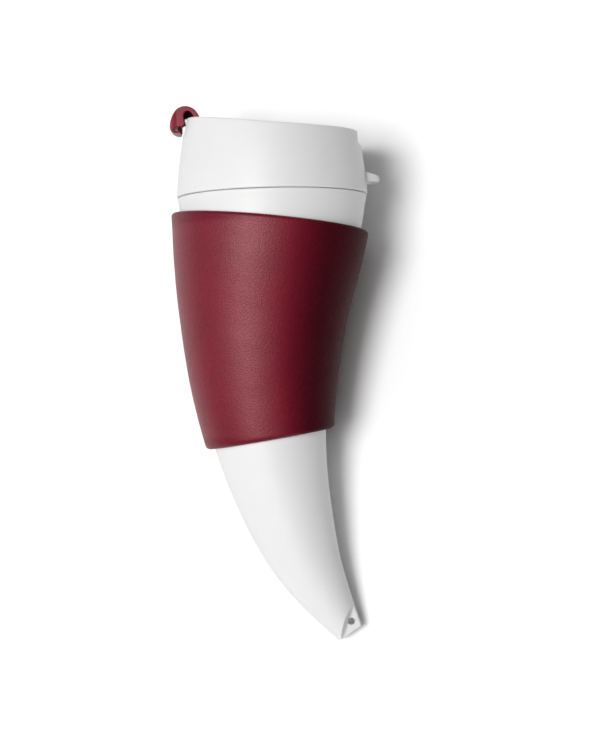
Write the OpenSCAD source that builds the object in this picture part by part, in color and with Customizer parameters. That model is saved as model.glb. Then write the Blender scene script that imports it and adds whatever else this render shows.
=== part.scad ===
// Horn-shaped travel mug with a screw lid, a snap-over flap and a slip-off leather sleeve.
// Every piece is drawn standing: origin at the seam between horn and lid, +Z up the mouth's
// axis, the horn curving in the XZ plane towards +X.  rest() then lays the mug on its side.

/* [Horn] */
// Outer radius of the horn at the seam below the lid
seam_r = 40.5; // [40.4:0.1:40.6]
// Wall thickness of the horn
horn_wall = 2.4; // [2.2:0.1:2.6]
// Length of the horn along its curved middle line, from the seam to the cut tip
horn_length = 195.2; // [193:0.1:196.5]
// Where the drinking space ends along the middle line
well_length = 176; // [168:1:178]
// Radius of the strap eyelet drilled through the tip
tip_eye_r = 1.5; // [1.2:0.1:1.8]
// Half thickness of the flat tab around that eyelet
tip_tab = 3; // [2.6:0.1:3.4]

/* [Neck and thread] */
// Outer radius of the neck
neck_r = 35.2; // [35:0.1:35.4]
// Wall thickness of the neck
neck_wall = 2.2; // [2:0.1:2.4]
// Height of the neck above the seam
neck_h = 15; // [14.6:0.1:15]
// Rise of the thread in one full turn
thread_lead = 12; // [11:0.5:13]
// Radial height of a thread ridge
thread_h = 1.5; // [1.3:0.1:1.5]

/* [Lid] */
// Gap of the shadow line between horn and lid
seam_gap = 0.4; // [0.3:0.1:0.6]
// Outer radius of the lid at its lower edge
lid_r = 40.95; // [40.85:0.05:41]
// Wall thickness of the lid's raised rim
rim_wall = 2.6; // [2.4:0.1:2.8]
// Height of the deck that closes the lid
deck_z = 18.6; // [18.4:0.1:19]
// Radius of the drinking hole
sip_r = 4; // [3.8:0.1:4.2]
// Radius of the strap eyelet in the lug beside the lid
lug_eye_r = 1.9; // [1.6:0.1:2]

/* [Flap] */
// Radius of the flap's hinge pin
pin_r = 1.45; // [1.3:0.05:1.5]
// Width of the flap at its hinge
flap_w = 20; // [19:0.5:20]
// Width of the hook that snaps over the rim
hook_w = 14; // [12:0.5:15]

/* [Sleeve] */
// Gap between horn and sleeve
sleeve_gap = 0.3; // [0.3:0.05:0.4]
// Depth of the sewn groove down the back of the sleeve
seam_groove = 0.5; // [0.3:0.1:0.6]
// Length of the leather turned in at both ends
turn_in = 9; // [8:1:11]

/* [Rest pose] */
// Turn about the mouth's axis that rolls the tip down
rest_roll = 12.63; // [12:0.01:13]
// Lift of the mouth end
rest_pitch = 9.73; // [9:0.01:10]

/* [Hidden] */
$fn = 96;

white = [0.93, 0.93, 0.92];
maroon = [0.50, 0.12, 0.19];
clear_grey = [0.80, 0.80, 0.79];

hinge_x = 14;       // flap hinge, ahead of the mouth's axis
hinge_z = 23.4;     // flap hinge, above the seam
sip_x = -24;        // drinking hole, near the low side of the hook
flat_x = 37.1;      // flat ground into the lid's far side
notch_x = -35.65;   // flat behind the hook's foot
starts = 3;         // thread starts
sides = 60;         // facets round horn and lid
rest_at = [-1.02, 74.57, 44.01]; // sets the lowest point on z = 0 and centres the footprint

// ---------- the horn's middle line, radius and lean at equal steps ----------
step = 25;
LEAN = [-4, -7, -3, 0.8, 6.8, 13.4, 20, 30, 33.2, 34];        // degrees
RADIUS = [40.4, 37.2, 32.9, 29, 24.9, 21, 16.8, 11.2, 4.9, 0];  // millimetres

// smooth curve through equally spaced knots
function curve(v, s) = let (
        u = max(0, s) / step, i = min(floor(u), len(v) - 2), f = u - i,
        b = v[i], c = v[i + 1],
        a = i > 0 ? v[i - 1] : 2 * b - c,
        d = i + 2 < len(v) ? v[i + 2] : 2 * c - b)
    b + f / 2 * (c - a + f * (2 * a - 5 * b + 4 * c - d + f * (3 * (b - c) + d - a)));
function lean(s) = curve(LEAN, s);
function radius(s) = curve(RADIUS, s);

MIDDLE = [for (s = 0, p = [-0.1, 0]; s <= 198;
               p = p + [sin(lean(s + 0.5)), -cos(lean(s + 0.5))], s = s + 1) [s, p[0], p[1]]];
MX = [for (m = MIDDLE) [m[0], m[1]]];
MZ = [for (m = MIDDLE) [m[0], m[2]]];

// lean of a cross-section: level at the seam, square to the middle line from 8 mm down
function tilt(s) = lean(s) * min(1, max(0, s) / 8);
// point on the horn: s along it, a round it (0 = +X, 90 = +Y), off proud of its skin
function skin(s, a, off = 0) = let (t = tilt(s), r = radius(s) + off)
    [lookup(s, MX) + r * cos(a) * cos(t), r * sin(a), lookup(s, MZ) + r * cos(a) * sin(t)];

// ---------- skins built from rings of points ----------
// faces between two rings of n points; the diagonals run one way whichever ring comes first,
// so that layers which share their rings meet face to face
function band(n, i, j, up = false) = [for (k = [0 : n - 1]) let (l = (k + 1) % n)
    each up ? [[i * n + k, i * n + l, j * n + l], [i * n + k, j * n + l, j * n + k]]
            : [[i * n + k, i * n + l, j * n + k], [i * n + l, j * n + l, j * n + k]]];
// a ring of rings, closed on itself like a collar
module collar(rings) {
    m = len(rings);
    n = len(rings[0]);
    polyhedron(points = [for (r = rings) each r],
               faces = [for (i = [0 : m - 1]) let (j = (i + 1) % m)
                   each band(n, i, j, rings[j][0][2] > rings[i][0][2])], convexity = 6);
}
// a chain of rings closed by its first and last ring
module capped(rings) {
    m = len(rings);
    n = len(rings[0]);
    polyhedron(points = [for (r = rings) each r],
               faces = concat([for (i = [0 : m - 2]) each band(n, i, i + 1)],
                              [[for (k = [n - 1 : -1 : 0]) k]],
                              [[for (k = [0 : n - 1]) (m - 1) * n + k]]), convexity = 8);
}

// helical ridge of trapezium section; foot at radius r0, crest at radius r1
module ridge(r0, r1, z0, from, span, foot = 1.9, crest = 1.0) {
    n = ceil(span / 6);
    rings = [for (i = [0 : n]) let (
            a = from + span * i / n,
            z = z0 + thread_lead * span * i / n / 360,
            grow = min(1, 0.15 + i / 2, 0.15 + (n - i) / 2),
            rc = r0 + (r1 - r0) * grow,
            lower = [[r0, -foot / 2], [rc, -crest / 2], [rc, crest / 2], [r0, foot / 2]],
            q = r1 > r0 ? lower : [lower[3], lower[2], lower[1], lower[0]])
        [for (p = q) [p[0] * cos(a), p[0] * sin(a), z + p[1]]]];
    capped(rings);
}

// lays the standing mug on its side, mouth towards +Y
module rest() {
    translate(rest_at) rotate([rest_pitch, 0, 0]) rotate([0, rest_roll, 0])
        rotate([-90, 0, 0]) children();
}

// ---------- horn ----------
function ring(s, off) = [for (k = [0 : sides - 1]) skin(s, k * 360 / sides, off)];
function level_ring(x, z, r) = [for (k = [0 : sides - 1]) let (a = k * 360 / sides)
    [x + r * cos(a), r * sin(a), z]];
// inner radius shrinks to a rounded bottom over the last 14 mm of the well
function well_off(s) = let (w = radius(s) - horn_wall, f = max(0, (s - well_length + 14) / 14))
    w * sqrt(max(0, 1 - f * f)) - radius(s);

module horn_shell() {
    inner = [for (s = [well_length - 0.2, well_length - 0.9, well_length - 2.2, well_length - 4.5,
                       well_length - 8, well_length - 13]) ring(s, well_off(s))];
    up = [for (k = [0 : 18]) let (s = (well_length - 19) * (1 - k / 18) + 3.5 * k / 18) ring(s, -horn_wall)];
    down = [for (k = [0 : 25]) let (s = 4 + (horn_length - 7) * k / 25) ring(s, 0)];
    end = [for (q = [[-0.5, -0.03], [-0.15, -0.15], [0, -0.5]]) ring(horn_length + q[0], q[1])];
    capped(concat(inner, up,
        [level_ring(0, -0.01, seam_r - horn_wall), level_ring(0, -0.01, seam_r - 0.6),
         level_ring(0, -0.6, seam_r - 0.05)],
        down, end));
}

module neck() {
    inner = neck_r - neck_wall;
    rotate_extrude() polygon([[inner, neck_h - 0.5], [inner + 0.5, neck_h], [neck_r - 0.6, neck_h],
        [neck_r, neck_h - 0.6], [neck_r, 0], [39.4, 0], [39.4, -4.6], [38.6, -4.6], [inner, 0.4]]);
}

// cuts one face of the tip flat, right of a line that slants across it
module tip_cut() {
    translate([31, 0, -173.5]) rotate([0, 20, 0]) translate([0, 0, -24]) linear_extrude(height = 30)
        polygon([[-0.6, 9], [0.3, tip_tab], [25, tip_tab], [25, 20], [-0.6, 20]]);
}

module horn() color(white) rest() {
    difference() {
        union() {
            horn_shell();
            neck();
            for (k = [0 : starts - 1]) ridge(neck_r - 0.4, neck_r + thread_h, 4.2, k * 120, 110);
        }
        tip_cut();
        mirror([0, 1, 0]) tip_cut();
        translate([29.6, 0, -182.9]) rotate([90, 0, 0]) cylinder(r = tip_eye_r, h = 30, center = true);
    }
}

// ---------- lid ----------
function lid_out(z) = lid_r - 0.06 * z - 0.0025 * z * z;
// the rim dips in the middle and climbs towards the hook
function rim_z(x) = 26.35 + pow(x - 24, 2) / 480;

module lid_wall() {
    round = [[0.8, 0], [0.24, 0.24], [0, 0.8], [0, 1.8], [0.24, 2.36], [0.8, 2.6]];
    outer = [for (z = [seam_gap + 0.5, 5, 10, 15, 19]) [z, 0, 0]];
    path = concat([[seam_gap, 0, 0.5]], outer, [[22.5, 0, 0]],
        [for (q = round) [0, -q[0], q[1] * rim_wall / 2.6]],
        [[22.5, 0, rim_wall], [deck_z - 1, 0, rim_wall]]);
    rings = [for (q = path) [for (k = [0 : sides - 1]) let (
            a = k * 360 / sides, top = rim_z(36 * cos(a)),
            z = q[1] == 0 && q[0] != 0 ? q[0] : top + q[1],
            r = lid_out(z) - q[2])
        [r * cos(a), r * sin(a), z]]];
    low = [level_ring(0, deck_z - 1, 36.6), level_ring(0, 16.4, 37.2), level_ring(0, 3.4, 37.2),
           level_ring(0, 2.2, 38.4), level_ring(0, seam_gap, 38.4)];
    collar([for (i = [len(rings) + len(low) - 1 : -1 : 0]) i < len(rings) ? rings[i] : low[i - len(rings)]]);
}

module lug() {
    intersection() {
        rotate([90, 0, 0]) linear_extrude(height = 14, center = true)
            polygon([[36.8, 4.9], [41, 4.9], [45.3, 5.0], [46.1, 5.5], [46.4, 6.4], [46.1, 7.3], [45.3, 7.9], [40, 9.2], [36.8, 9.5]]);
        union() {
            translate([40.4, 0, 0]) cylinder(r = 6, h = 12);
            translate([36, -6, 0]) cube([4.4, 12, 12]);
        }
    }
}

// ledge outside the rim that the hook's foot snaps past
module catch() {
    intersection() {
        rotate([90, 0, 0]) linear_extrude(height = 15, center = true)
            polygon([[-35.2, 31], [-36, 30.8], [-37.8, 29.8], [-37.8, 28.4], [-37.4, 26.8], [-35.2, 26.8]]);
        translate([0, 0, 25]) cylinder(r = 38, h = 10);
    }
}

module ear(y0) {
    translate([0, y0, 0]) rotate([90, 0, 0]) linear_extrude(height = 2.6, center = true) union() {
        polygon([[hinge_x - 4.5, deck_z - 1], [hinge_x + 4.5, deck_z - 1], [hinge_x + 2.9, hinge_z], [hinge_x - 2.9, hinge_z]]);
        translate([hinge_x, hinge_z]) circle(r = 2.9);
    }
}

module lid() color(white) rest() {
    difference() {
        union() {
            lid_wall();
            translate([0, 0, 16.2]) cylinder(r = 36.9, h = deck_z - 16.2);
            rotate_extrude() polygon([[30, 12.4], [32, 12.4], [32, 16.6], [29.6, 16.6]]);
            translate([sip_x, 0, deck_z - 0.5]) cylinder(r1 = 7.2, r2 = 6.6, h = 3.4);
            for (s = [-1, 1]) ear(s * (flap_w / 2 + 1.6));
            lug();
            catch();
            for (k = [0 : starts - 1])
                ridge(37.6, neck_r + 0.4, 4.2 + thread_lead / starts / 2 - thread_lead * 60 / 360, k * 120 - 60, 100);
        }
        translate([sip_x, 0, 10]) cylinder(r = sip_r, h = 20);
        translate([-4, 0, 10]) cylinder(r = 1.2, h = 20);
        rotate([90, 0, 0]) linear_extrude(height = 34, center = true)
            polygon([[flat_x, 40], [flat_x, 21.4], [flat_x + 1.3, 20.5], [flat_x + 2, 19.6], [44, 19.6], [44, 40]]);
        rotate([90, 0, 0]) linear_extrude(height = 34, center = true)
            polygon([[notch_x, 40], [notch_x, 30.4], [-38.2, 29.4], [-44, 29.4], [-44, 40]]);
        translate([42.6, 0, 4]) cylinder(r = lug_eye_r, h = 9);
        translate([hinge_x, 0, hinge_z]) rotate([90, 0, 0]) cylinder(r = pin_r, h = 40, center = true);
    }
}

module lid_gasket() color(clear_grey) rest()
    rotate_extrude() polygon([[32.4, neck_h + 0.05], [36.6, neck_h + 0.05], [36.8, neck_h + 0.3], [36.8, 15.9], [36.6, 16.15], [32.4, 16.15]]);

// ---------- flap ----------
// the flap seen from the side: a plank that climbs out of the lid and hooks over the rim
module flap_side() {
    difference() {
        union() {
            polygon([[hinge_x, 22.2], [hinge_x, 26.2], [8, 26.2], [4, 25.4], [-24.5, 25.4], [-26.4, 26], [-27.6, 27.4],
                     [-29.8, 33.2], [-30.4, 34.9], [-31.2, 36.3], [-32.3, 37.5], [-33.7, 38.4], [-35.4, 38.9],
                     [-37.2, 38.9], [-38.9, 38.3], [-40.4, 37.2], [-41.7, 35.6], [-42.6, 33.8], [-43.1, 32.1], [-43.25, 30.7],
                     [-43, 29.5], [-42.3, 28.4], [-41.3, 27.7], [-40, 27.4], [-38.7, 27.5], [-38.35, 27.8], [-38.4, 28.2], [-38.8, 28.4],
                     [-40.4, 28.4], [-41.1, 28.7], [-41.4, 29.25], [-41.1, 29.85], [-40.4, 30.15], [-37.7, 30.15], [-36.9, 30.5],
                     [-36.45, 31.3], [-36.6, 32.5], [-36.85, 34.2], [-36.9, 35.2], [-36.5, 36.2], [-35.6, 36.8], [-34.5, 36.8], [-33.6, 36.1], [-32.6, 34.5], [-31.6, 32],
                     [-29.9, 26.3], [-28.6, 24.2], [-26.8, 22.6], [-25, 22.2]]);
            translate([hinge_x, hinge_z]) circle(r = 3);
        }
        translate([hinge_x, hinge_z]) circle(r = pin_r + 0.07);
    }
}

module flap_plan() {
    union() {
        polygon([[-36, -hook_w / 2], [-20, -hook_w / 2 - 1], [8, -flap_w / 2], [20, -flap_w / 2],
                 [20, flap_w / 2], [8, flap_w / 2], [-20, hook_w / 2 + 1], [-36, hook_w / 2]]);
        translate([-43.4 + hook_w * 0.62, 0]) circle(r = hook_w * 0.62);
    }
}

// stiffening rib inside the hook, just clear of the rim, and the web across the mouth of its slot
module flap_rib() {
    rotate([90, 0, 0]) linear_extrude(height = 2, center = true)
        polygon([[-37, 34.3], [-31.9, 34.3], [-32.6, 37.6], [-37, 37.6]]);
    rotate([90, 0, 0]) linear_extrude(height = 11, center = true)
        polygon([[-39.7, 28], [-38.5, 27.9], [-38.25, 28.8], [-38.1, 30.4], [-39.4, 30.6]]);
}

module flap() color(maroon) rest()
    difference() {
        union() {
            intersection() {
                rotate([90, 0, 0]) linear_extrude(height = 24, center = true) flap_side();
                translate([0, 0, 15]) linear_extrude(height = 30) flap_plan();
            }
            flap_rib();
        }
        translate([sip_x, 0, 20]) cylinder(r = 1.5, h = 4);
    }

module hinge_pin() color([0.75, 0.75, 0.76]) rest()
    translate([hinge_x, 0, hinge_z]) rotate([90, 0, 0]) cylinder(r = pin_r, h = flap_w + 5.6, center = true);

module sip_plug() color(clear_grey) rest()
    translate([sip_x, 0, 0]) rotate_extrude() polygon([[0, 19.4], [2.6, 19.4], [3.5, 20.2], [3.7, 21.6], [6.2, 21.7],
        [6.2, 22.2], [1.5, 22.2], [1.5, 24], [0, 24]]);

// ---------- sleeve ----------
leather_in = 2.7;    // inner face of the leather, proud of the horn
leather_out = 3.6;   // outer face of the leather
core_in = 1.1;       // inner face of the stiff core
ANGLES = [for (k = [0 : 47]) each k == 12 ? [87, 89.2, 90.8, 93] : [k * 7.5]];

// both ends of the sleeve, measured along the horn, follow its lean
function sleeve_top(a) = 11.1 + 0.65 * cos(a);
function sleeve_end(a) = 104.2 - 0.35 * cos(a);
// stations shared by all the layers, so that they meet face to face
function station(k, a) = let (t = sleeve_top(a) + turn_in, e = sleeve_end(a) - turn_in) t + (e - t) * k / 8;
function groove(a) = abs(a - 90) < 1.5 ? seam_groove : 0;
// q = [1 from the top or 2 from the end or 0 a shared station, distance or station, offset, outer?]
function layer(q) = [for (a = ANGLES) let (
        s = q[0] == 1 ? sleeve_top(a) + q[1] : q[0] == 2 ? sleeve_end(a) - q[1] : station(q[1], a))
    skin(s, a, q[2] - (q[3] == 1 ? groove(a) : 0))];

module sleeve_leather() color(maroon) rest() {
    mid = (leather_out + sleeve_gap) / 2;
    half = (leather_out - sleeve_gap) / 2;
    path = concat(
        [[1, half, leather_out, 1]], [for (k = [0 : 8]) [0, k, leather_out, 1]], [[2, half, leather_out, 1]],
        [for (b = [60, 30, 0, -30, -60]) [2, half - half * cos(b), mid + half * sin(b), 0]],
        [[2, half, sleeve_gap, 0], [2, turn_in - 3, sleeve_gap, 0], [0, 8, sleeve_gap + 0.1, 0], [0, 8, core_in, 0],
         [2, 1.9, core_in, 0], [2, 1.9, leather_in, 0]],
        [for (k = [8 : -1 : 0]) [0, k, leather_in, 0]],
        [[1, 1.9, leather_in, 0], [1, 1.9, core_in, 0], [0, 0, core_in, 0], [0, 0, sleeve_gap + 0.1, 0],
         [1, turn_in - 3, sleeve_gap, 0], [1, half, sleeve_gap, 0]],
        [for (b = [-60, -30, 0, 30, 60]) [1, half - half * cos(b), mid + half * sin(b), 0]]);
    collar([for (q = path) layer(q)]);
}

module sleeve_core() color([0.20, 0.18, 0.17]) rest() {
    path = concat(
        [[1, 1.9, leather_in, 0]], [for (k = [0 : 8]) [0, k, leather_in, 0]], [[2, 1.9, leather_in, 0]],
        [[2, 1.9, core_in, 0]], [for (k = [8 : -1 : 0]) [0, k, core_in, 0]], [[1, 1.9, core_in, 0]]);
    collar([for (q = path) layer(q)]);
}

module sleeve_lining() color([0.30, 0.10, 0.14]) rest() {
    path = concat([for (k = [0 : 8]) [0, k, core_in, 0]],
        [for (k = [8 : -1 : 0]) [0, k, core_in - 0.5, 0]]);
    collar([for (q = path) layer(q)]);
}

horn();
lid();
lid_gasket();
flap();
hinge_pin();
sip_plug();
sleeve_leather();
sleeve_core();
sleeve_lining();
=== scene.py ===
import math

import bmesh
import bpy
import numpy as np
from mathutils import Matrix, Vector


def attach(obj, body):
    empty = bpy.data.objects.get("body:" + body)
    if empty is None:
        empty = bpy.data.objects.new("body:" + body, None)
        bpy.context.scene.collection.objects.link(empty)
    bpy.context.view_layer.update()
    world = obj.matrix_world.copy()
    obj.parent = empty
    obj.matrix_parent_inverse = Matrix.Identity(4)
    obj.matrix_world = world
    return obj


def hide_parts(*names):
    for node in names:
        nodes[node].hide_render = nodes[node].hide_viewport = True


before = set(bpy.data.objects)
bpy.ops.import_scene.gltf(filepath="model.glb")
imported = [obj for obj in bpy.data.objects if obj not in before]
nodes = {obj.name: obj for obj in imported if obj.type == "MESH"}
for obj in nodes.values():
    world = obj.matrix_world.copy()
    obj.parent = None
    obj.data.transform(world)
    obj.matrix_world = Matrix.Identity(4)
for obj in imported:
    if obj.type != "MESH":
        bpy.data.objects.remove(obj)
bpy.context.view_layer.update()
scene = bpy.context.scene

# ------------------------------------------------------------------ the mug's own upright frame
# Everything is worked out in millimetres on the standing mug: origin at the seam between horn and
# lid, +Z up the mouth's axis, the horn curving in XZ towards +X.  lay() puts a point where the
# mug lies on the floor, in metres.
PITCH, ROLL = math.radians(9.73), math.radians(12.63)
SHIFT = np.array([-1.02, 74.57, 44.01])
TURN = np.array(Matrix.Rotation(PITCH, 3, "X") @ Matrix.Rotation(ROLL, 3, "Y") @ Matrix.Rotation(math.radians(-90), 3, "X"))


def lay(p):
    return (np.asarray(p, float) @ TURN.T + SHIFT) / 1000


def way(p):
    return np.asarray(p, float) @ TURN.T


STEP = 25
LEAN = [-4, -7, -3, 0.8, 6.8, 13.4, 20, 30, 33.2, 34]
RADIUS = [40.4, 37.2, 32.9, 29, 24.9, 21, 16.8, 11.2, 4.9, 0]


def curve(v, s):
    s = np.maximum(0, np.asarray(s, float))
    v = np.array(v, float)
    u = s / STEP
    i = np.minimum(np.floor(u).astype(int), len(v) - 2)
    f = u - i
    b, c = v[i], v[i + 1]
    a = np.where(i > 0, v[np.maximum(i - 1, 0)], 2 * b - c)
    d = np.where(i + 2 < len(v), v[np.minimum(i + 2, len(v) - 1)], 2 * c - b)
    return b + f / 2 * (c - a + f * (2 * a - 5 * b + 4 * c - d + f * (3 * (b - c) + d - a)))


_s = np.arange(0, 199)
_l = np.radians(curve(LEAN, _s[:-1] + 0.5))
MX = np.concatenate([[-0.1], -0.1 + np.cumsum(np.sin(_l))])
MZ = np.concatenate([[0.0], -np.cumsum(np.cos(_l))])


def radius(s):
    return curve(RADIUS, s)


def skin(s, a, off=0.0):
    """Points on the horn: s along it in mm, a round it in radians (0 = +X, 90 degrees = +Y), off proud of its skin."""
    s, a, off = np.broadcast_arrays(np.asarray(s, float), np.asarray(a, float), np.asarray(off, float))
    t = np.radians(curve(LEAN, s)) * np.clip(s / 8, 0, 1)
    r = radius(s) + off
    return np.stack([np.interp(s, _s, MX) + r * np.cos(a) * np.cos(t), r * np.sin(a),
                     np.interp(s, _s, MZ) + r * np.cos(a) * np.sin(t)], -1)


def smoothstep(t):
    t = np.clip(t, 0, 1)
    return t * t * (3 - 2 * t)


def soft_min(a, b, k):
    """The smaller of a and b, with the corner between them rounded over about k."""
    h = np.clip(0.5 + 0.5 * (b - a) / k, 0, 1)
    return b + (a - b) * h - k * h * (1 - h)


# ------------------------------------------------------------------ mesh helpers
def grid_faces(m, n, loop=False, first=0):
    """Quads between m rings of n points each; loop also joins the last ring to the first."""
    i = np.arange(m if loop else m - 1)[:, None]
    k = np.arange(n)[None, :]
    l, j = (k + 1) % n, (i + 1) % m
    q = np.stack([i * n + k, i * n + l, j * n + l, j * n + k], -1).reshape(-1, 4) + first
    return q[:, ::-1].tolist()


def new_object(name, verts, faces, angle=40.0, laid=True):
    me = bpy.data.meshes.new(name)
    me.from_pydata((lay(verts) if laid else np.asarray(verts)).tolist(), [], faces)
    me.validate()
    bm = bmesh.new()
    bm.from_mesh(me)
    bmesh.ops.recalc_face_normals(bm, faces=bm.faces)
    bm.to_mesh(me)
    bm.free()
    me.shade_smooth()
    if angle:
        me.set_sharp_from_angle(angle=math.radians(angle))
    ob = bpy.data.objects.new(name, me)
    scene.collection.objects.link(ob)
    return ob


def chain(name, rings, angle=40.0):
    """A chain of rings closed at both ends by fans."""
    rings = [np.asarray(r, float) for r in rings]
    m, n = len(rings), len(rings[0])
    v = np.concatenate(rings + [rings[0].mean(0)[None], rings[-1].mean(0)[None]])
    f = grid_faces(m, n)
    k = np.arange(n)
    f += [[int(a), int((a + 1) % n), m * n] for a in k]
    f += [[(m - 1) * n + int((a + 1) % n), (m - 1) * n + int(a), m * n + 1] for a in k]
    return new_object(name, v, f, angle)


def collar(name, rings, angle=40.0):
    rings = [np.asarray(r, float) for r in rings]
    return new_object(name, np.concatenate(rings), grid_faces(len(rings), len(rings[0]), loop=True), angle)


def prism(name, outline, y0, y1, angle=40.0):
    """An outline in XZ drawn out along Y."""
    o = np.asarray(outline, float)
    n = len(o)
    v = np.concatenate([np.stack([o[:, 0], np.full(n, y), o[:, 1]], -1) for y in (y0, y1)])
    f = [[k, (k + 1) % n, n + (k + 1) % n, n + k] for k in range(n)] + [list(range(n))[::-1], list(range(n, 2 * n))]
    return new_object(name, v, f, angle)


def lathe(name, profile, n=96, centre=(0, 0), angle=40.0, axis="Z"):
    """A closed outline (r, h) turned about an upright axis through centre, or about an axis along Y."""
    p = np.asarray(profile, float)
    a = np.arange(n) * 2 * math.pi / n
    rings = []
    for r, h in p:
        if axis == "Z":
            rings.append(np.stack([centre[0] + r * np.cos(a), centre[1] + r * np.sin(a), np.full(n, h)], -1))
        else:
            rings.append(np.stack([centre[0] + r * np.cos(a), np.full(n, h), centre[1] + r * np.sin(a)], -1))
    return collar(name, rings, angle)


def apply_modifiers(ob):
    dg = bpy.context.evaluated_depsgraph_get()
    dg.update()
    me = bpy.data.meshes.new_from_object(ob.evaluated_get(dg))
    old = ob.data
    ob.modifiers.clear()
    ob.data = me
    bpy.data.meshes.remove(old)
    return ob


def boolean(ob, others, how, angle=40.0):
    """ob is cut by, or joined with, the others, which are used up."""
    for o in others:
        m = ob.modifiers.new("b", "BOOLEAN")
        m.operation, m.solver, m.object = how, "EXACT", o
    apply_modifiers(ob)
    for o in others:
        bpy.data.objects.remove(o)
    ob.data.shade_smooth()
    if angle:
        ob.data.set_sharp_from_angle(angle=math.radians(angle))
    return ob


def remesh(ob, voxel, rounds, factor=0.5):
    """Rebuilds ob at voxel mm and eases its edges, as a moulded piece's are."""
    m = ob.modifiers.new("r", "REMESH")
    m.mode, m.voxel_size, m.use_smooth_shade = "VOXEL", voxel / 1000, True
    s = ob.modifiers.new("s", "SMOOTH")
    s.factor, s.iterations = factor, rounds
    apply_modifiers(ob)
    ob.data.shade_smooth()
    return ob


def join(name, obs):
    """Several closed pieces as one object."""
    bm = bmesh.new()
    for o in obs:
        bm.from_mesh(o.data)
    me = bpy.data.meshes.new(name)
    bm.to_mesh(me)
    bm.free()
    for o in obs:
        bpy.data.objects.remove(o)
    ob = bpy.data.objects.new(name, me)
    scene.collection.objects.link(ob)
    return ob


def even(points, step, closed=True):
    """An outline resampled at about equal steps."""
    p = np.asarray(points, float)
    q = np.concatenate([p, p[:1]]) if closed else p
    d = np.concatenate([[0], np.cumsum(np.linalg.norm(np.diff(q, axis=0), axis=1))])
    n = max(8, int(round(d[-1] / step)))
    t = np.linspace(0, d[-1], n, endpoint=not closed)
    return np.stack([np.interp(t, d, q[:, i]) for i in range(q.shape[1])], -1)


def eased(points, step, rounds):
    """An outline resampled and smoothed."""
    p = even(points, step)
    for _ in range(rounds):
        p = 0.5 * p + 0.25 * (np.roll(p, 1, 0) + np.roll(p, -1, 0))
    return p


# ------------------------------------------------------------------ materials
def material(name):
    m = bpy.data.materials.new(name)
    m.use_nodes = True
    nt = m.node_tree
    return m, nt, nt.nodes["Principled BSDF"]


def node(nt, kind, **values):
    n = nt.nodes.new(kind)
    for k, v in values.items():
        if k.startswith("in_"):
            key = k[3:]
            n.inputs[int(key) if key.isdigit() else key.replace("_", " ")].default_value = v
        else:
            setattr(n, k, v)
    return n


def ramp(nt, source, stops, interpolation="LINEAR"):
    r = nt.nodes.new("ShaderNodeValToRGB")
    r.color_ramp.interpolation = interpolation
    els = r.color_ramp.elements
    while len(els) < len(stops):
        els.new(0.5)
    for e, (p, c) in zip(els, stops):
        e.position = p
        e.color = c if len(c) == 4 else (*c, 1)
    nt.links.new(source, r.inputs["Fac"])
    return r


def grey(v):
    return (v, v, v, 1)


def srgb(h):
    c = [int(h[i:i + 2], 16) / 255 for i in (0, 2, 4)]
    return tuple(x / 12.92 if x <= 0.04045 else ((x + 0.055) / 1.055) ** 2.4 for x in c)


def plastic(name, colour, rough=0.32, spread=0.05, bump=0.02, specular=0.5, coat=0.0, scale=1.0):
    """Moulded plastic: a faint orange peel, a little cloudiness in colour and gloss, and fine handling scuffs."""
    m, nt, b = material(name)
    at = node(nt, "ShaderNodeTexCoord").outputs["Object"]
    cloud = node(nt, "ShaderNodeTexNoise", in_Scale=42.0 * scale, in_Detail=3.0, in_Roughness=0.55)
    peel = node(nt, "ShaderNodeTexNoise", in_Scale=1500.0 * scale, in_Detail=2.0, in_Roughness=0.5)
    fine = node(nt, "ShaderNodeTexNoise", in_Scale=5200.0 * scale, in_Detail=3.0, in_Roughness=0.6)
    for t in (cloud, peel, fine):
        nt.links.new(at, t.inputs["Vector"])
    c = ramp(nt, cloud.outputs["Fac"], [(0.35, tuple(x * 0.975 for x in colour)), (0.65, colour)])
    nt.links.new(c.outputs["Color"], b.inputs["Base Color"])
    # scuffs: long thin noise, stretched along the mug
    turn = node(nt, "ShaderNodeMapping")
    turn.inputs["Scale"].default_value = (900, 70, 900)
    turn.inputs["Rotation"].default_value = (0.2, 0.1, 0.5)
    nt.links.new(at, turn.inputs["Vector"])
    scuff = node(nt, "ShaderNodeTexNoise", in_Scale=1.0, in_Detail=4.0, in_Roughness=0.7)
    nt.links.new(turn.outputs["Vector"], scuff.inputs["Vector"])
    sr = ramp(nt, scuff.outputs["Fac"], [(0.0, grey(rough - spread)), (0.55, grey(rough)), (0.8, grey(rough + spread * 2))])
    nt.links.new(sr.outputs["Color"], b.inputs["Roughness"])
    add = node(nt, "ShaderNodeMath", operation="ADD")
    half = node(nt, "ShaderNodeMath", operation="MULTIPLY", in_1=0.35)
    nt.links.new(fine.outputs["Fac"], half.inputs[0])
    nt.links.new(peel.outputs["Fac"], add.inputs[0])
    nt.links.new(half.outputs[0], add.inputs[1])
    bm = node(nt, "ShaderNodeBump", in_Strength=bump, in_Distance=0.0002)
    nt.links.new(add.outputs[0], bm.inputs["Height"])
    nt.links.new(bm.outputs["Normal"], b.inputs["Normal"])
    b.inputs["Specular IOR Level"].default_value = specular
    b.inputs["Coat Weight"].default_value = coat
    return m


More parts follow.
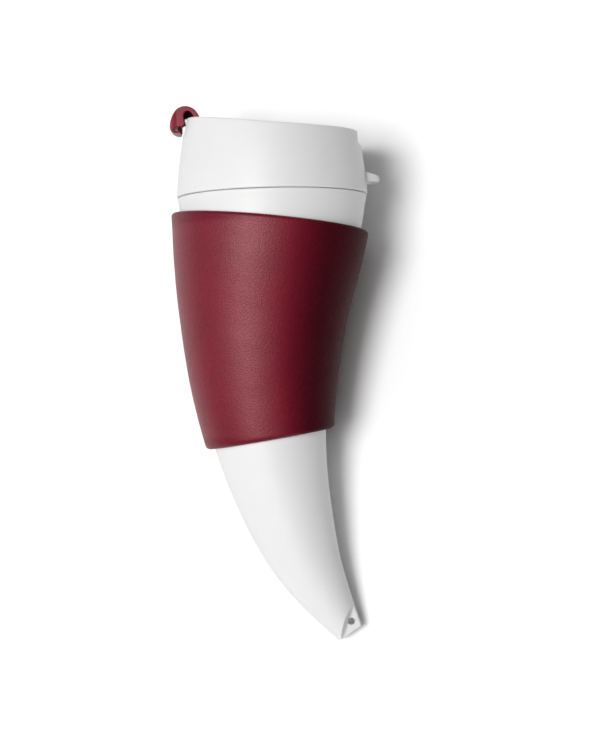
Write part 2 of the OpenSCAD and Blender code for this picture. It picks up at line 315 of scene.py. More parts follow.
def leather(name, deep, body, worn):
    """Corrected-grain leather: small rounded pebbles with creases between them, over a slow change of colour, with the crests a little lighter and glossier."""
    m, nt, b = material(name)
    at = node(nt, "ShaderNodeTexCoord").outputs["Object"]
    warp = node(nt, "ShaderNodeTexNoise", in_Scale=420.0, in_Detail=2.0)
    nt.links.new(at, warp.inputs["Vector"])
    mix = node(nt, "ShaderNodeMix", data_type="VECTOR")
    mix.inputs["Factor"].default_value = 0.0012
    nt.links.new(at, mix.inputs["A"])
    nt.links.new(warp.outputs["Color"], mix.inputs["B"])
    here = mix.outputs["Result"]
    cells = node(nt, "ShaderNodeTexVoronoi", feature="SMOOTH_F1", in_Scale=1700.0, in_Smoothness=0.5, in_Randomness=1.0)
    small = node(nt, "ShaderNodeTexVoronoi", feature="F1", in_Scale=3600.0, in_Randomness=1.0)
    pores = node(nt, "ShaderNodeTexNoise", in_Scale=6500.0, in_Detail=3.0, in_Roughness=0.6)
    slow = node(nt, "ShaderNodeTexNoise", in_Scale=60.0, in_Detail=4.0, in_Roughness=0.55)
    blotch = node(nt, "ShaderNodeTexNoise", in_Scale=480.0, in_Detail=3.0, in_Roughness=0.6)
    for t in (cells, small, pores, slow, blotch):
        nt.links.new(here, t.inputs["Vector"])
    # height of the grain: pebbles high in their middles, creases low
    inv = ramp(nt, cells.outputs["Distance"], [(0.12, grey(1.0)), (0.42, grey(0.55)), (0.66, grey(0.0))], "EASE")
    inv2 = ramp(nt, small.outputs["Distance"], [(0.1, grey(1.0)), (0.7, grey(0.0))])
    m1 = node(nt, "ShaderNodeMath", operation="MULTIPLY_ADD", in_1=0.4)
    nt.links.new(inv2.outputs["Color"], m1.inputs[0])
    nt.links.new(inv.outputs["Color"], m1.inputs[2])
    m2 = node(nt, "ShaderNodeMath", operation="MULTIPLY_ADD", in_1=0.35)
    nt.links.new(pores.outputs["Fac"], m2.inputs[0])
    nt.links.new(m1.outputs[0], m2.inputs[2])
    m3 = node(nt, "ShaderNodeMath", operation="MULTIPLY_ADD", in_1=0.5)
    nt.links.new(blotch.outputs["Fac"], m3.inputs[0])
    nt.links.new(m2.outputs[0], m3.inputs[2])
    bm = node(nt, "ShaderNodeBump", in_Strength=0.36, in_Distance=0.0001)
    nt.links.new(m3.outputs[0], bm.inputs["Height"])
    nt.links.new(bm.outputs["Normal"], b.inputs["Normal"])
    # colour: crease to crest, then slow change over the hide
    grain = ramp(nt, m1.outputs[0], [(0.15, deep), (0.7, body), (1.0, worn)])
    tone = ramp(nt, slow.outputs["Fac"], [(0.3, grey(0.86)), (0.7, grey(1.0))])
    mul = node(nt, "ShaderNodeMix", data_type="RGBA", blend_type="MULTIPLY")
    mul.inputs["Factor"].default_value = 1.0
    nt.links.new(grain.outputs["Color"], mul.inputs["A"])
    nt.links.new(tone.outputs["Color"], mul.inputs["B"])
    # painted shade: a per-vertex attribute from the sleeve darkens the colour and, raised to a power, dims the gloss
    # where the sleeve turns from the light
    painted_shade = node(nt, "ShaderNodeAttribute", attribute_name="painted_shade").outputs["Fac"]
    painted_shade_mix = node(nt, "ShaderNodeMix", data_type="RGBA", blend_type="MULTIPLY")
    painted_shade_mix.inputs["Factor"].default_value = 1.0
    nt.links.new(mul.outputs["Result"], painted_shade_mix.inputs["A"])
    nt.links.new(painted_shade, painted_shade_mix.inputs["B"])
    nt.links.new(painted_shade_mix.outputs["Result"], b.inputs["Base Color"])
    painted_shade_gloss = node(nt, "ShaderNodeMath", operation="POWER", in_1=2.4)
    nt.links.new(painted_shade, painted_shade_gloss.inputs[0])
    level = node(nt, "ShaderNodeMath", operation="MULTIPLY", in_1=0.68)
    nt.links.new(painted_shade_gloss.outputs[0], level.inputs[0])
    nt.links.new(level.outputs[0], b.inputs["Specular IOR Level"])
    rr = ramp(nt, m3.outputs[0], [(0.3, grey(0.51)), (1.2 / 1.3, grey(0.45))])
    nt.links.new(rr.outputs["Color"], b.inputs["Roughness"])
    b.inputs["Specular Tint"].default_value = (1.0, 0.60, 0.61, 1)
    return m


def cloth(name, dark, light, pitch=0.5):
    """Woven lining: warp and weft threads with nap."""
    m, nt, b = material(name)
    at = node(nt, "ShaderNodeTexCoord").outputs["Object"]
    w1 = node(nt, "ShaderNodeTexWave", in_Scale=1000 / pitch / 6.28, in_Distortion=0.6, bands_direction="Y")
    w2 = node(nt, "ShaderNodeTexWave", in_Scale=1000 / pitch / 6.28, in_Distortion=0.6, bands_direction="X")
    nap = node(nt, "ShaderNodeTexNoise", in_Scale=2400.0, in_Detail=4.0)
    for t in (w1, w2, nap):
        nt.links.new(at, t.inputs["Vector"])
    mx = node(nt, "ShaderNodeMath", operation="MAXIMUM")
    nt.links.new(w1.outputs["Fac"], mx.inputs[0])
    nt.links.new(w2.outputs["Fac"], mx.inputs[1])
    ad = node(nt, "ShaderNodeMath", operation="MULTIPLY_ADD", in_1=0.6)
    nt.links.new(nap.outputs["Fac"], ad.inputs[0])
    nt.links.new(mx.outputs[0], ad.inputs[2])
    c = ramp(nt, ad.outputs[0], [(0.4, dark), (1.0, light)])
    nt.links.new(c.outputs["Color"], b.inputs["Base Color"])
    bm = node(nt, "ShaderNodeBump", in_Strength=0.5, in_Distance=0.0002)
    nt.links.new(ad.outputs[0], bm.inputs["Height"])
    nt.links.new(bm.outputs["Normal"], b.inputs["Normal"])
    b.inputs["Roughness"].default_value = 0.9
    b.inputs["Sheen Weight"].default_value = 0.5
    b.inputs["Sheen Roughness"].default_value = 0.4
    return m


def silicone(name):
    m, nt, b = material(name)
    at = node(nt, "ShaderNodeTexCoord").outputs["Object"]
    n1 = node(nt, "ShaderNodeTexNoise", in_Scale=300.0, in_Detail=3.0)
    nt.links.new(at, n1.inputs["Vector"])
    c = ramp(nt, n1.outputs["Fac"], [(0.3, (0.62, 0.62, 0.60)), (0.7, (0.74, 0.74, 0.72))])
    nt.links.new(c.outputs["Color"], b.inputs["Base Color"])
    r = ramp(nt, n1.outputs["Fac"], [(0.3, grey(0.38)), (0.7, grey(0.52))])
    nt.links.new(r.outputs["Color"], b.inputs["Roughness"])
    b.inputs["Subsurface Weight"].default_value = 0.35
    b.inputs["Subsurface Radius"].default_value = (1, 1, 0.95)
    b.inputs["Subsurface Scale"].default_value = 0.001
    return m


def metal(name):
    m, nt, b = material(name)
    at = node(nt, "ShaderNodeTexCoord").outputs["Object"]
    mp = node(nt, "ShaderNodeMapping")
    mp.inputs["Scale"].default_value = (4000, 4000, 200)
    nt.links.new(at, mp.inputs["Vector"])
    n1 = node(nt, "ShaderNodeTexNoise", in_Scale=1.0, in_Detail=3.0)
    nt.links.new(mp.outputs["Vector"], n1.inputs["Vector"])
    c = ramp(nt, n1.outputs["Fac"], [(0.3, (0.52, 0.52, 0.53)), (0.7, (0.66, 0.66, 0.67))])
    nt.links.new(c.outputs["Color"], b.inputs["Base Color"])
    r = ramp(nt, n1.outputs["Fac"], [(0.3, grey(0.22)), (0.7, grey(0.4))])
    nt.links.new(r.outputs["Color"], b.inputs["Roughness"])
    b.inputs["Metallic"].default_value = 1.0
    return m


WHITE = plastic("white_plastic", (0.77, 0.77, 0.768), rough=0.46, bump=0.03, specular=0.38)
# painted shade: a near-black, matte copy of the maroon plastic for the inside of the hook
MAROON_PAINTED_SHADE = plastic("maroon_plastic_painted_shade", (0.030, 0.0022, 0.0045), rough=0.75, bump=0.2, specular=0.12)
MAROON = plastic("maroon_plastic", (0.205, 0.0095, 0.0225), rough=0.40, spread=0.06, bump=0.06, specular=0.2)
LEATHER = leather("maroon_leather", (0.146, 0.0022, 0.0135), (0.184, 0.0030, 0.0178), (0.192, 0.0036, 0.0192))
LINING = cloth("lining_cloth", (0.030, 0.004, 0.009), (0.10, 0.016, 0.03))
CORE = plastic("core_board", (0.035, 0.03, 0.028), rough=0.6, bump=0.3)
SILICONE = silicone("clear_silicone")
STEEL = metal("pin_steel")
THREAD = cloth("maroon_thread", (0.05, 0.003, 0.008), (0.20, 0.014, 0.03), pitch=0.16)


def dress(ob, mat, body=None, stands_for=()):
    ob.data.materials.clear()
    ob.data.materials.append(mat)
    if body:
        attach(ob, body)
    if stands_for:
        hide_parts(*stands_for)
    return ob


# ------------------------------------------------------------------ horn
N = 180
A = np.arange(N) * 2 * math.pi / N
WELL, END, WALL = 176.0, 195.2, 2.4
NECK_R, NECK_WALL, NECK_H, LEAD, STARTS, THREAD_H = 35.2, 2.2, 15.0, 12.0, 3, 1.5


def level(r, z, a=A):
    r = np.broadcast_to(r, a.shape)
    return np.stack([r * np.cos(a), r * np.sin(a), np.broadcast_to(z, a.shape)], -1)


def ridge_height(a, z, starts_at, span, z0, foot, crest, height):
    """How far helical ridges stand off at angle a (degrees) and height z: flat crests, sloping sides, run-out ends."""
    out = np.zeros(np.broadcast(a, z).shape)
    for k in range(STARTS):
        d = np.mod(a - (starts_at + 120 * k), 360.0)
        d = np.where(d > 320, d - 360, d)
        zc = z0 + LEAD * d / 360
        across = np.abs(z - zc)
        side = np.clip((foot / 2 - across) / ((foot - crest) / 2), 0, 1)
        ends = smoothstep((d + 3) / 10) * smoothstep((span + 3 - d) / 10)
        out = np.maximum(out, smoothstep(side) * ends)
    return out * height


def tip_uv(x, z):
    """Across and along the line where the tip's flat starts, in mm."""
    c, s = math.cos(math.radians(20)), math.sin(math.radians(20))
    return (x - 31) * c - (z + 173.5) * s, (x - 31) * s + (z + 173.5) * c


def flat_height(u):
    """Half the tip's thickness at its flat, which falls away a little towards the tip's edge."""
    return 3.05 - 0.14 * np.clip(u - 1.5, 0, 9)


def tip_flat(p):
    """Cuts both faces of the tip flat, right of a line that slants across it, with a fillet along that line."""
    y = p[..., 1]
    u, v = tip_uv(p[..., 0], p[..., 2])
    t = (0.15 - u) / 0.42
    h = flat_height(u) + 3.2 * 0.42 * np.where(t > 20, t, np.log1p(np.exp(np.minimum(t, 20))))
    h = np.where(v > 6, h + (v - 6) * 20, h)
    q = p.copy()
    q[..., 1] = np.sign(y) * np.maximum(0, soft_min(np.abs(y), h, 0.22))
    return q


def make_horn():
    rings = []
    # the well, from its rounded bottom up
    for f in np.linspace(0.02, 1, 16):
        t = math.asin(min(1, f))
        s = WELL - 14 + 14 * math.cos(t)
        w = (radius(s) - WALL) * math.sin(t)
        rings.append(skin(s, A, w - radius(s)))
    for s in np.linspace(WELL - 17, 5, 54):
        rings.append(skin(s, A, -WALL))
    # up into the neck: a sloping shoulder inside, then the straight neck
    for r, z in [(37.6, -4.4), (36.2, -2.9), (34.3, -1.0), (33.3, -0.05), (33.02, 0.6), (33.0, 1.5), (33.0, 6), (33.0, 11),
                 (33.0, 14.3), (33.06, 14.62), (33.24, 14.88), (33.55, 15.0), (34.4, 15.0), (34.82, 14.92), (35.1, 14.68), (35.2, 14.35)]:
        rings.append(level(r, z))
    deg = np.degrees(A)
    for z in np.arange(14.1, 1.0, -0.22):
        rings.append(level(NECK_R + ridge_height(deg, z, 0, 110, 4.2, 2.1, 0.9, THREAD_H), z))
    for r, z in [(35.2, 0.9), (35.26, 0.5), (35.5, 0.16), (35.95, 0.0), (37.5, 0.0), (39.6, 0.0), (40.05, -0.09), (40.36, -0.33), (40.47, -0.7)]:
        rings.append(level(r, z))
    for s in (1.6, 2.8):
        f = (s - 0.7) / 3.3
        rings.append(level(40.47, -0.7) * (1 - f) + skin(4.0, A) * f)
    for s in np.concatenate([np.linspace(4, 160, 105), np.arange(161, 170, 0.34), np.arange(170, 193.2, 0.2)]):
        rings.append(tip_flat(skin(s, A)))
    for s, off in [(1.6, 0), (1.1, 0), (0.6, 0), (0.32, -0.01), (0.14, -0.07), (0.04, -0.18), (0.0, -0.36)]:
        rings.append(tip_flat(skin(END - s, A, off)))
    end = rings[-1]
    mid = end.mean(0)
    for f in (0.66, 0.33):
        rings.append(mid + (end - mid) * f)
    ob = chain("horn_shell", rings, angle=60)
    # the eyelet, with eased rims
    prof = [(0.001, -11), (1.66, -11), (1.66, -3.0), (1.61, -2.93), (1.54, -2.8), (1.51, -2.62), (1.5, -2.4), (1.5, 2.4),
            (1.51, 2.62), (1.54, 2.8), (1.61, 2.93), (1.66, 3.0), (1.66, 11), (0.001, 11)]
    cut = lathe("eyelet_cut", prof, n=48, centre=(29.6, -182.9), axis="Y")
    boolean(ob, [cut], "DIFFERENCE", angle=64)
    rings = []
    t = np.arange(64) * 2 * math.pi / 64
    for side in (-1, 1):
        ring = []
        for r, up in [(1.49, -0.6), (1.49, 0.06), (1.53, 0.13), (1.62, 0.18), (1.78, 0.18), (1.9, 0.13), (1.97, 0.03), (2.0, -0.2), (2.0, -0.6)]:
            x, z = 29.6 + r * np.cos(t), -182.9 + r * np.sin(t)
            ring.append(np.stack([x, side * (flat_height(tip_uv(x, z)[0]) + up), z], -1))
        rings.append(collar("eyelet_ring", ring, angle=50))
    whole = join("horn_body", [ob, *rings])
    whole.data.shade_smooth()
    whole.data.set_sharp_from_angle(angle=math.radians(60))
    return dress(whole, WHITE, "horn", ["horn"])


# ------------------------------------------------------------------ lid
LID_N = 216
LA = np.arange(LID_N) * 2 * math.pi / LID_N
DECK = 18.6
FLAT_X = 37.1
NOTCH_X = 35.65


def lid_out(z):
    return 40.95 - 0.06 * z - 0.0025 * z * z


def rim_z(x):
    return 26.35 + (x - 24) ** 2 / 480


def lid_flat(p):
    """The flat ground into the lid's far side, with its small sloping step below, and the flat behind the hook."""
    x, z = p[..., 0], p[..., 2]
    lim = FLAT_X + np.interp(z, [19.6, 20.5, 21.4], [2.0, 1.3, 0.0])
    q = p.copy()
    q[..., 0] = np.where(z > 19.0, soft_min(x, lim, 0.14), x)
    lim = NOTCH_X + np.interp(z, [29.4, 30.4], [2.55, 0.0])
    q[..., 0] = np.where(z > 29.0, -soft_min(-q[..., 0], lim, 0.12), q[..., 0])
    return q


def make_lid():
    top = rim_z(36 * np.cos(LA))
    rings = []
    # outside, from the seam up
    for dz, dr in [(0.0, 0.55), (0.06, 0.26), (0.24, 0.07), (0.5, 0.0)]:
        rings.append(level(lid_out(0.14 + dz) - dr, 0.14 + dz, LA))
    for z in np.arange(1.6, 17.6, 1.1):
        rings.append(level(lid_out(z), z, LA))
    for z in np.arange(17.6, 22.4, 0.12):
        rings.append(lid_flat(level(lid_out(z), z, LA)))
    for f in np.concatenate([np.linspace(0.08, 0.6, 5), np.arange(0.64, 0.78, 0.01), [0.8, 0.86, 0.92]]):
        z = 22.4 + (top - 0.75 - 22.4) * f
        rings.append(lid_flat(level(lid_out(z), z, LA)))
    # the rim: crisp, barely rounded corners
    for dz, dr in [(-0.65, 0.0), (-0.42, 0.03), (-0.2, 0.12), (-0.06, 0.28), (0.0, 0.5), (0.0, 1.3), (0.0, 2.05), (-0.06, 2.3), (-0.2, 2.47), (-0.45, 2.57), (-0.8, 2.6)]:
        z = top + dz
        rings.append(lid_flat(level(lid_out(z) - dr, z, LA)) if dr < 1.0 else level(lid_out(z) - dr, z, LA))
    for f in np.linspace(0.9, 0.1, 8):
        z = DECK + 1.6 + (top - 0.9 - DECK - 1.6) * f
        rings.append(level(lid_out(z) - 2.6, z, LA))
    # a cove into the deck
    rc = lid_out(DECK + 1.5) - 2.6
    for t in np.linspace(0, 90, 7):
        rings.append(level(rc - 1.5 * (1 - math.cos(math.radians(t))), DECK + 1.5 - 1.5 * math.sin(math.radians(t)), LA))
    for r in (33, 29, 24, 18, 12, 6, 2):
        rings.append(level(r, DECK, LA))
    up = rings
    # underneath, from the middle out: skirt, gasket seat, threaded socket, mouth
    deg = np.degrees(LA)
    low = [level(r, 16.2, LA) for r in (2, 10, 20, 29.2)]
    low += [level(r, z, LA) for r, z in [(29.6, 15.9), (29.9, 12.9), (30.1, 12.55), (30.5, 12.4), (31.5, 12.4), (31.85, 12.5), (32.0, 12.8), (32.0, 15.9), (32.3, 16.2), (35, 16.2), (36.9, 16.2), (37.15, 15.9)]]
    for z in np.arange(15.7, 3.5, -0.22):
        h = ridge_height(deg, z, -60, 100, 4.2 + LEAD / STARTS / 2 - LEAD * 60 / 360, 2.1, 0.9, 1.55)
        low.append(level(37.2 - h, z, LA))
    low += [level(r, z, LA) for r, z in [(37.2, 3.4), (38.2, 2.3), (38.4, 2.0), (38.4, 0.7), (38.55, 0.3), (38.9, 0.14), (39.6, 0.14)]]
    # one chain of rings from the middle of the underside, out, up and in to the middle of the deck
    return chain("lid_shell", low + up, angle=50)


def blob(name, parts, voxel, rounds, factor=0.5):
    """Joined pieces, rebuilt as one moulded form."""
    return remesh(join(name, parts), voxel, rounds, factor)


def arc(cx, cz, r, a0, a1, n):
    t = np.radians(np.linspace(a0, a1, n))
    return np.stack([cx + r * np.cos(t), cz + r * np.sin(t)], -1)


def make_lug():
    """The flat eyelet lug: thick at its root, where it flares into the wall, and rounded at its end."""
    side = [(38.2, 4.2), (39.8, 4.35), (40.5, 4.62), (41.2, 4.85), (43.3, 4.95), (45.2, 5.02), (45.95, 5.35), (46.32, 5.95), (46.38, 6.5),
            (46.2, 7.1), (45.75, 7.6), (45.0, 7.9), (43.3, 8.3), (41.6, 8.72), (40.8, 8.98), (40.2, 9.3), (39.5, 9.75), (38.2, 9.9)]
    o = prism("lug_side", eased(side, 0.22, 2), -8, 8)
    plan = np.concatenate([[(36, -6.5), (39.2, -6.5), (40.0, -6.1), (40.5, -5.98)], arc(40.4, 0, 5.95, -85, 85, 40), [(40.5, 5.98), (40.0, 6.1), (39.2, 6.5), (36, 6.5)]])
    n = len(plan)
    v = np.concatenate([np.stack([plan[:, 0], plan[:, 1], np.full(n, z)], -1) for z in (2, 13)])
    f = [[k, (k + 1) % n, n + (k + 1) % n, n + k] for k in range(n)] + [list(range(n))[::-1], list(range(n, 2 * n))]
    keep = new_object("lug_plan", v, f)
    boolean(o, [keep], "INTERSECT")
    cut = lathe("lug_cut", [(0.001, 0), (1.9, 0), (1.9, 13), (0.001, 13)], n=48, centre=(42.6, 0))
    boolean(o, [cut], "DIFFERENCE")
    return remesh(o, 0.2, 4)


def make_ears():
    parts = []
    for s in (-1, 1):
        y = s * 11.6
        o = [(9.3, 18.2), (9.3, 19.0), (10.1, 20.2), (11.1, 23.4)] + arc(14, 23.4, 2.9, 180, 0, 24).tolist() + [(16.9, 23.4), (17.9, 20.2), (18.7, 19.0), (18.7, 18.2)]
        e = prism("ear", o, y - 1.3, y + 1.3)
        cut = lathe("ear_cut", [(0.001, -20), (1.45, -20), (1.45, 20), (0.001, 20)], n=40, centre=(14, 23.4), axis="Y")
        boolean(e, [cut], "DIFFERENCE")
        parts.append(remesh(e, 0.22, 4))
    return parts


def make_catch():
    o = [(-34.9, 30.5), (-35.65, 30.4), (-37.55, 29.65), (-37.82, 29.45), (-37.82, 28.4), (-37.3, 26.4), (-34.9, 26.4)]
    c = prism("catch", eased(o, 0.15, 2), -7.5, 7.5)
    ring = lathe("catch_round", [(0.001, 24), (38, 24), (38, 34), (0.001, 34)], n=240)
    boolean(c, [ring], "INTERSECT")
    return remesh(c, 0.16, 4)


def make_boss():
    prof = [(4.0, 18.0), (8.2, 18.0), (8.2, 18.6), (7.5, 18.75), (7.12, 19.1), (6.98, 19.6), (6.72, 20.9), (6.6, 21.3), (6.3, 21.48), (4.6, 21.5), (4.25, 21.42), (4.05, 21.2), (4.0, 20.9)]
    return lathe("boss", prof, n=96, centre=(-24, 0))


def finish_lid():
    ob = make_lid()
    cuts = [lathe("sip_cut", [(0.001, 8), (4.0, 8), (4.0, 30), (0.001, 30)], n=64, centre=(-24, 0)),
            lathe("vent_cut", [(0.001, 8), (1.2, 8), (1.2, 18.2), (1.3, 18.45), (1.6, 18.7), (1.6, 30), (0.001, 30)], n=36, centre=(-4, 0)),
            lathe("lug_hole", [(0.001, 0), (1.9, 0), (1.9, 13), (0.001, 13)], n=48, centre=(42.6, 0))]
    boolean(ob, cuts, "DIFFERENCE", angle=50)
    whole = join("lid_body", [ob, make_lug(), make_catch(), make_boss(), *make_ears()])
    whole.data.shade_smooth()
    whole.data.set_sharp_from_angle(angle=math.radians(50))
    return dress(whole, WHITE, "lid", ["lid"])


# ------------------------------------------------------------------ flap
def make_flap():
    line = [(11.25, 22.2), (-25, 22.2), (-26.8, 22.6), (-28.6, 24.2), (-29.9, 26.3), (-31.6, 32), (-32.6, 34.5), (-33.6, 36.1), (-34.5, 36.8),
            (-35.6, 36.8), (-36.5, 36.2), (-36.9, 35.2), (-36.85, 34.2), (-36.6, 32.5), (-36.45, 31.3), (-36.9, 30.5), (-37.7, 30.15), (-40.4, 30.15),
            (-41.1, 29.85), (-41.4, 29.25), (-41.1, 28.7), (-40.4, 28.4), (-38.8, 28.4), (-38.4, 28.2), (-38.35, 27.8), (-38.7, 27.5), (-40, 27.4),
            (-41.3, 27.7), (-42.3, 28.4), (-43, 29.5), (-43.25, 30.7), (-43.1, 32.1),
            (-42.6, 33.8), (-41.7, 35.6), (-40.4, 37.2), (-38.9, 38.3), (-37.2, 38.9), (-35.4, 38.9), (-33.7, 38.4), (-32.3, 37.5), (-31.2, 36.3),
            (-30.4, 34.9), (-29.8, 33.2), (-27.6, 27.4), (-26.4, 26), (-24.5, 25.4), (4, 25.4), (8, 26.2), (13, 26.3)]
    outline = np.concatenate([line, arc(14, 23.4, 3.0, 78, -150, 40)])
    side = prism("flap_side", eased(outline, 0.18, 2), -11, 11)
    plan = np.concatenate([[(20, -10), (20, 10), (8, 10), (-20, 8)], arc(-34.72, 0, 8.68, 126, 234, 50), [(-20, -8), (8, -10)]])
    n = len(plan)
    v = np.concatenate([np.stack([plan[:, 0], plan[:, 1], np.full(n, z)], -1) for z in (10, 50)])
    f = [[k, (k + 1) % n, n + (k + 1) % n, n + k] for k in range(n)] + [list(range(n))[::-1], list(range(n, 2 * n))]
    keep = new_object("flap_plan", v, f)
    boolean(side, [keep], "INTERSECT")
    cut = lathe("pin_cut", [(0.001, -20), (1.52, -20), (1.52, 20), (0.001, 20)], n=40, centre=(14, 23.4), axis="Y")
    boolean(side, [cut], "DIFFERENCE")
    remesh(side, 0.18, 11)
    side.name = "flap_body"
    dress(side, MAROON, "flap", ["flap"])
    # painted shade: the rib under the hook's crown and the web put across the mouth of its slot get a near-black, matte
    # copy of the maroon plastic, so the inside of the hook reads as shade
    rib = prism("rib", eased([(-37.2, 34.3), (-36.3, 34.25), (-32.2, 34.25), (-31.8, 34.7), (-32.7, 36.9), (-33.4, 37.4), (-36.6, 37.4), (-37.2, 36.8)], 0.12, 2), -1, 1)
    web = prism("web", eased([(-39.7, 28), (-38.5, 27.9), (-38.25, 28.8), (-38.1, 30.4), (-39.4, 30.6)], 0.1, 2), -5.5, 5.5)
    inner = join("hook_rib_and_web", [rib, web])
    inner.data.shade_smooth()
    inner.data.set_sharp_from_angle(angle=math.radians(35))
    return dress(inner, MAROON_PAINTED_SHADE, "flap")


# ------------------------------------------------------------------ sleeve
LEATHER_OUT, LEATHER_IN, CORE_IN, GAP, TURN_IN = 3.6, 2.7, 1.1, 0.3, 9.0
SEAM = math.radians(90)
# finer near the sewn seam
_fine = np.concatenate([np.arange(-9, 9.01, 0.3), np.arange(10.5, 350, 1.5)])
SA = np.radians(90 + _fine)
_d = np.abs(np.degrees(np.angle(np.exp(1j * (SA - SEAM)))))   # degrees off the seam


def sleeve_top(a):
    return 11.1 + 0.65 * np.cos(a)


def sleeve_end(a):
    return 104.2 - 0.35 * np.cos(a)


def rumple(s, a):
    """The slow unevenness of leather pulled over a shell, in mm."""
    return 0.5 * (0.045 * np.sin(0.21 * s + 1.7 * np.sin(2 * a + 0.5)) * np.sin(3 * a + 0.9) + 0.035 * np.sin(0.37 * s + 5 * a)
            + 0.02 * np.sin(0.71 * s - 7 * a + 1.3))


def stitch_rows():
    """(s, degrees off the seam's middle) of each stitch's two ends, on both sides of the seam."""
    rows = []
    for side in (-1, 1):
        for k in range(23):
            s0 = 15.2 + 3.7 * k
            rows.append((s0, s0 + 2.7, side))
    return rows


STITCHES = stitch_rows()
ROW_MM = 2.6


def sewn(s):
    """The outer face's dip at the seam and along its stitches."""
    r = radius(s) + LEATHER_OUT
    mm = np.radians(_d) * r
    dip = 0.55 * np.exp(-(mm / 0.42) ** 2) + 0.16 * np.exp(-(mm / 1.5) ** 2)
    row = np.exp(-((mm - ROW_MM) / 0.55) ** 2)
    best = np.zeros_like(mm)
    for s0, s1, side in STITCHES:
        if side < 0:
            continue
        for hole in (s0, s1):
            best = np.maximum(best, np.exp(-((s - hole) / 0.5) ** 2))
    inside = smoothstep((s - 12.8) / 2) * smoothstep((102.6 - s) / 2)
    return dip + (0.10 + 0.22 * best) * row * inside


def make_sleeve():
    top, end = sleeve_top(SA), sleeve_end(SA)
    length = end - top
    half = (LEATHER_OUT - GAP) / 2
    mid = (LEATHER_OUT + GAP) / 2
    rings = []

    def ring(u, off, from_top=None, from_end=None, sew=0.0, wave=0.0):
        s = top + from_top if from_top is not None else end - from_end if from_end is not None else top + u * length
        o = np.full_like(s, off)
        if sew:
            o = o - sew * sewn(float(np.mean(s)))
        if wave:
            o = o + wave * rumple(s, SA)
        return skin(s, SA, o)

    # outside, from the top edge to the end
    for f in np.concatenate([np.linspace(0, 3, 7)[1:], np.arange(3.7, 89.3, 0.62), np.linspace(89.8, 92.6, 6)]):
        edge = min(f, 93.0 - f)
        soft = smoothstep(edge / 2.2)
        r = 1.65
        drop = r - math.sqrt(max(0.0, r * r - max(0.0, r - edge) ** 2)) if edge < r else 0.0
        if f < 46:
            rings.append(ring(None, LEATHER_OUT - drop, from_top=f, sew=soft, wave=soft))
        else:
            rings.append(ring(None, LEATHER_OUT - drop, from_end=93.0 - f, sew=soft, wave=soft))
    # round the lower edge
    for b in np.arange(50, -91, -14):
        c = math.radians(b)
        rings.append(ring(None, mid + half * math.sin(c), from_end=half - half * math.cos(c)))
    for d in (2.4, 4.5, 6.5, 8.2, 8.9):
        rings.append(ring(None, GAP + 0.02 * d / 9, from_end=d))
    for d, o in ((9.0, 0.42), (9.0, 0.9), (8.6, 1.1), (4, 1.1), (1.9, 1.1), (1.9, 2.7), (4, 2.7), (9, 2.7)):
        rings.append(ring(None, o, from_end=d))
    for u in np.linspace(0.85, 0.15, 16):
        rings.append(ring(u, LEATHER_IN))
    for d, o in ((9, 2.7), (4, 2.7), (1.9, 2.7), (1.9, 1.1), (4, 1.1), (8.6, 1.1), (9.0, 0.9), (9.0, 0.42)):
        rings.append(ring(None, o, from_top=d))
    for d in (8.9, 8.2, 6.5, 4.5, 2.4):
        rings.append(ring(None, GAP + 0.02 * d / 9, from_top=d))
    for b in np.arange(-90, 51, 14):
        c = math.radians(b)
        rings.append(ring(None, mid + half * math.sin(c), from_top=half - half * math.cos(c)))
    ob = collar("sleeve_skin", rings, angle=60)
    # painted shade: darker, duller leather along the inside of the horn's curve, on the side turned from the light. The
    # leather is also a little darker and duller within about 1.6 mm of both turned edges
    v = np.array([tuple(q.co) for q in ob.data.vertices]) * 1000 - SHIFT
    v = v @ TURN
    s = -v[:, 2]
    inner = np.clip((v[:, 0] - np.interp(s, _s, MX)) / (radius(s) + 3), -1, 1)
    # painted shade: 1 where lit, falling to 0.3 on the inner side of the curve
    dark = 1 - 0.70 * smoothstep((inner - 0.12) / 0.6)
    edge = np.minimum(s - 11, 104 - s)
    dark = dark * (1 - 0.18 * np.exp(-(np.maximum(edge, 0) / 1.6) ** 2))
    ob.data.attributes.new("painted_shade", "FLOAT", "POINT").data.foreach_set("value", dark)
    return dress(ob, LEATHER, "sleeve", ["sleeve_leather"])


def make_stitches():
    """Each stitch is a short twisted thread, sunk at both ends, on either side of the seam."""
    verts, faces = [], []
    m, n = 12, 10
    for s0, s1, side in STITCHES:
        base = len(verts)
        for i in range(m + 1):
            t = i / m
            s = s0 + (s1 - s0) * t
            r = float(radius(s)) + LEATHER_OUT
            a = SEAM + side * ROW_MM / r
            lift = 0.02 + 0.24 * math.sin(math.pi * t) ** 0.6 - 0.5 * (1 - math.sin(math.pi * t) ** 0.35)
            c = skin(s, a, lift)
            ahead = skin(s + 0.1, a, lift) - skin(s - 0.1, a, lift)
            ahead = ahead / np.linalg.norm(ahead)
            out = skin(s, a, 1.0) - skin(s, a, 0.0)
            out = out - ahead * (out @ ahead)
            out /= np.linalg.norm(out)
            across = np.cross(ahead, out)
            thick = 0.30 * (0.55 + 0.45 * math.sin(math.pi * t) ** 0.5)
            for k in range(n):
                b = 2 * math.pi * k / n
                # three plies, twisting along the stitch
                ply = 1 + 0.13 * math.cos(3 * (b + 5.0 * t * math.pi))
                verts.append(c + thick * ply * (math.cos(b) * across + math.sin(b) * out))
        for i in range(m):
            for k in range(n):
                l = (k + 1) % n
                faces.append([base + i * n + k, base + i * n + l, base + (i + 1) * n + l, base + (i + 1) * n + k])
        faces.append([base + k for k in range(n)][::-1])
        faces.append([base + m * n + k for k in range(n)])
    ob = new_object("seam_stitches", np.array(verts), faces, angle=None)
    return dress(ob, THREAD, "sleeve")


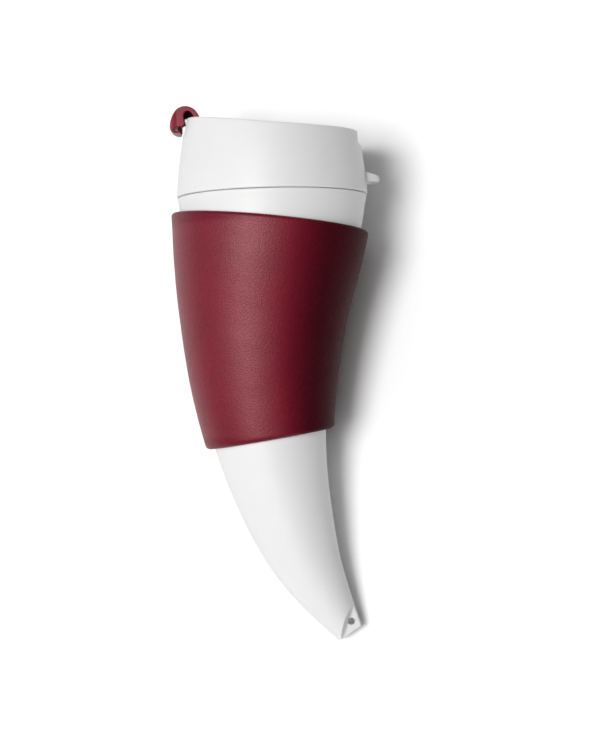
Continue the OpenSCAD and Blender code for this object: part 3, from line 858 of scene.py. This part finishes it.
make_horn()
finish_lid()
make_flap()
make_sleeve()
make_stitches()
for name, mat, slot in (("lid_gasket", SILICONE, "clear_silicone"), ("sip_plug", SILICONE, "clear_silicone"), ("hinge_pin", STEEL, "pin_steel"),
                        ("sleeve_core", CORE, "core_board"), ("sleeve_lining", LINING, "lining_cloth")):
    o = nodes[name]
    dress(o, mat)
    o.data.shade_smooth()
    o.data.set_sharp_from_angle(angle=math.radians(35))

# ------------------------------------------------------------------ floor, light, camera
def floor():
    m, nt, b = material("floor_paper")
    at = node(nt, "ShaderNodeTexCoord").outputs["Object"]
    n1 = node(nt, "ShaderNodeTexNoise", in_Scale=6.0, in_Detail=2.0)
    nt.links.new(at, n1.inputs["Vector"])
    c = ramp(nt, n1.outputs["Fac"], [(0.3, grey(0.955)), (0.7, grey(0.965))])
    nt.links.new(c.outputs["Color"], b.inputs["Base Color"])
    b.inputs["Roughness"].default_value = 0.9
    b.inputs["Specular IOR Level"].default_value = 0.2
    me = bpy.data.meshes.new("floor")
    h = 9.0
    me.from_pydata([(-h, -h, 0), (h, -h, 0), (h, h, 0), (-h, h, 0)], [], [[0, 1, 2, 3]])
    ob = bpy.data.objects.new("floor", me)
    ob.data.materials.append(m)
    scene.collection.objects.link(ob)


floor()


def light(name, at, aim, spread, power, colour=(1, 1, 1)):
    """A broad far light, as wide as spread; at and aim are millimetres in the mug's upright frame."""
    d = bpy.data.lights.new(name, "SUN")
    d.angle = spread
    d.energy, d.color = power, colour
    ob = bpy.data.objects.new(name, d)
    p, q = Vector(lay(at)), Vector(lay(aim))
    ob.location = p
    ob.rotation_mode = "QUATERNION"
    ob.rotation_quaternion = (q - p).to_track_quat("-Z", "Y")
    scene.collection.objects.link(ob)
    return ob


light("key", (-400, -900, 20), (0, 0, 0), math.radians(22), 2.25)
light("soft", (-300, -900, -60), (0, 0, 0), math.radians(54), 1.0)
light("side", (-900, -400, -30), (0, 0, 0), math.radians(44), 0.34)

world = bpy.data.worlds.new("studio")
scene.world = world
world.use_nodes = True
bg = world.node_tree.nodes["Background"]
bg.inputs["Color"].default_value = (1, 1, 1, 1)
bg.inputs["Strength"].default_value = 0.045

cam = bpy.data.cameras.new("camera")
eye = bpy.data.objects.new("camera", cam)
cam.lens, cam.sensor_width = 1860.5 / 750 * 36, 36
cam.clip_start, cam.clip_end = 0.01, 20
back = Vector(way((0, -1, 0)))
up = Vector(way((0.0244, 0, 0.9997))).normalized()
right = up.cross(back).normalized()
up = back.cross(right).normalized()
m = Matrix((right, up, back)).transposed().to_4x4()
m.translation = Vector(lay((10.08, -800, -76.92)))
eye.matrix_world = m
scene.collection.objects.link(eye)
scene.camera = eye

scene.view_settings.view_transform = "Standard"
scene.view_settings.look = "None"

bpy.context.view_layer.update()
